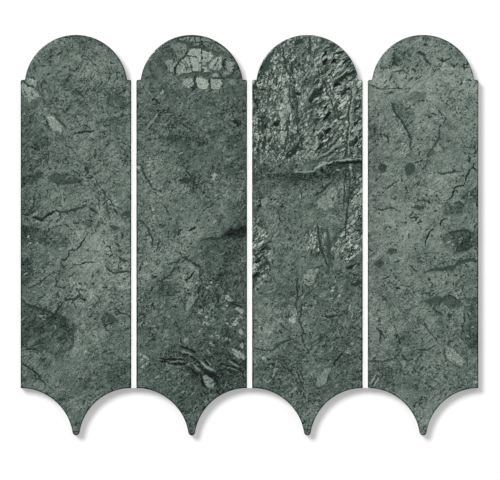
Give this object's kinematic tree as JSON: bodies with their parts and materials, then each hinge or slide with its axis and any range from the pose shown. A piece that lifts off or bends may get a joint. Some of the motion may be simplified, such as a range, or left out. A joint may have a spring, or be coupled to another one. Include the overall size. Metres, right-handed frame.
{
  "type": "marble mosaic tile",
  "caption": "Flat mosaic sheet of long green marble stones side by side, each with a domed head and a pointed foot with hollowed flanks, white joints and a mesh back.",
  "frame": {"origin": "middle of the sheet, on the face that beds on the wall", "axes": "+X across the stones, +Y towards their domed heads, +Z out of the polished face"},
  "size_m": [0.3014, 0.2636, 0.01],
  "materials": {
    "marble_mid_green": "polished green marble, cloudy, with fine dark flecks",
    "marble_deep_green": "polished deep green marble with pale clasts and black cracks",
    "marble_brecciated_green": "polished green marble, broken into pale scales between dark veins",
    "marble_pale_green": "polished pale green marble, cloudy, with dark pinholes",
    "white_pointing": "fine white cement pointing, tooled",
    "glass_fibre_mesh": "white coated glass-fibre mesh"
  },
  "bodies": {
    "root": {"stone_1": "marble_mid_green", "stone_2": "marble_deep_green", "stone_3": "marble_brecciated_green", "stone_4": "marble_pale_green", "joint_pointing_1": "white_pointing", "joint_pointing_2": "white_pointing", "joint_pointing_3": "white_pointing", "backing_mesh": "glass_fibre_mesh"}
  },
  "joints": []
}
